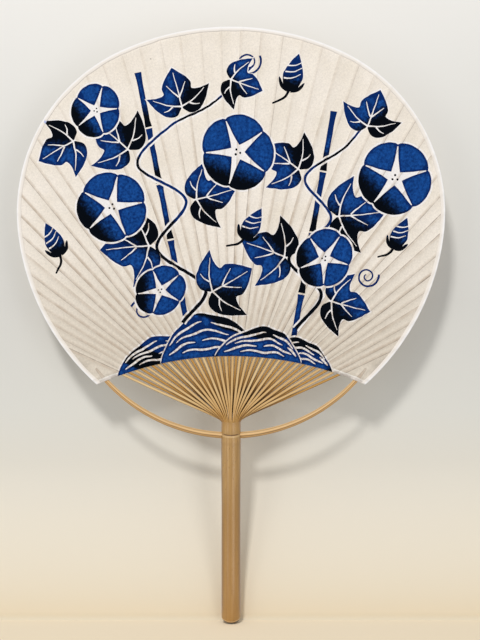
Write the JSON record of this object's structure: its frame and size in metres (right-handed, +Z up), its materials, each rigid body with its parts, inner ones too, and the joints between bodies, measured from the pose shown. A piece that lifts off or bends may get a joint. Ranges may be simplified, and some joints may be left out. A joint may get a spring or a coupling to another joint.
{
  "type": "round uchiwa hand fan",
  "caption": "Round bamboo hand fan: a culm handle split into ribs, held by a bent bow and a woven thread, with two stencil-dyed sheets and a rim tape.",
  "frame": {"origin": "centre of the handle's butt, at the lowest point of the fan", "axes": "+Z up along the handle to the top of the rim, fan in the XZ plane, front towards -Y"},
  "size_m": [0.2662, 0.0124, 0.37],
  "materials": {
    "culm": "round bamboo culm with its skin, dry and polished by hand",
    "plug": "turned wood plug, dark brown lacquer",
    "bow": "bent bamboo strip, scraped and smooth",
    "rib": "split bamboo, matt, with fibres along each strip",
    "thread": "twisted cotton thread",
    "sheet": "cream plain weave, stencil-dyed in indigo and black, pasted over the ribs",
    "tape": "thin handmade paper tape, folded over the rim and slightly see-through"
  },
  "bodies": {
    "root": {"handle": "culm", "butt_plug": "plug", "bow": "bow", "weaving_thread": "thread", "knot_left": "thread", "knot_right": "thread", "front_sheet": "sheet", "back_sheet": "sheet", "rim_tape": "tape", "rib_01": "rib", "rib_02": "rib", "rib_03": "rib", "rib_04": "rib", "rib_05": "rib", "rib_06": "rib", "rib_07": "rib", "rib_08": "rib", "rib_09": "rib", "rib_10": "rib", "rib_11": "rib", "rib_12": "rib", "rib_13": "rib", "rib_14": "rib", "rib_15": "rib", "rib_16": "rib", "rib_17": "rib", "rib_18": "rib", "rib_19": "rib", "rib_20": "rib", "rib_21": "rib", "rib_22": "rib", "rib_23": "rib", "rib_24": "rib", "rib_25": "rib", "rib_26": "rib", "rib_27": "rib", "rib_28": "rib", "rib_29": "rib", "rib_30": "rib", "rib_31": "rib", "rib_32": "rib", "rib_33": "rib", "rib_34": "rib", "rib_35": "rib", "rib_36": "rib", "rib_37": "rib", "rib_38": "rib", "rib_39": "rib", "rib_40": "rib", "rib_41": "rib", "rib_42": "rib", "rib_43": "rib", "rib_44": "rib", "rib_45": "rib", "rib_46": "rib", "rib_47": "rib", "rib_48": "rib"}
  },
  "joints": []
}
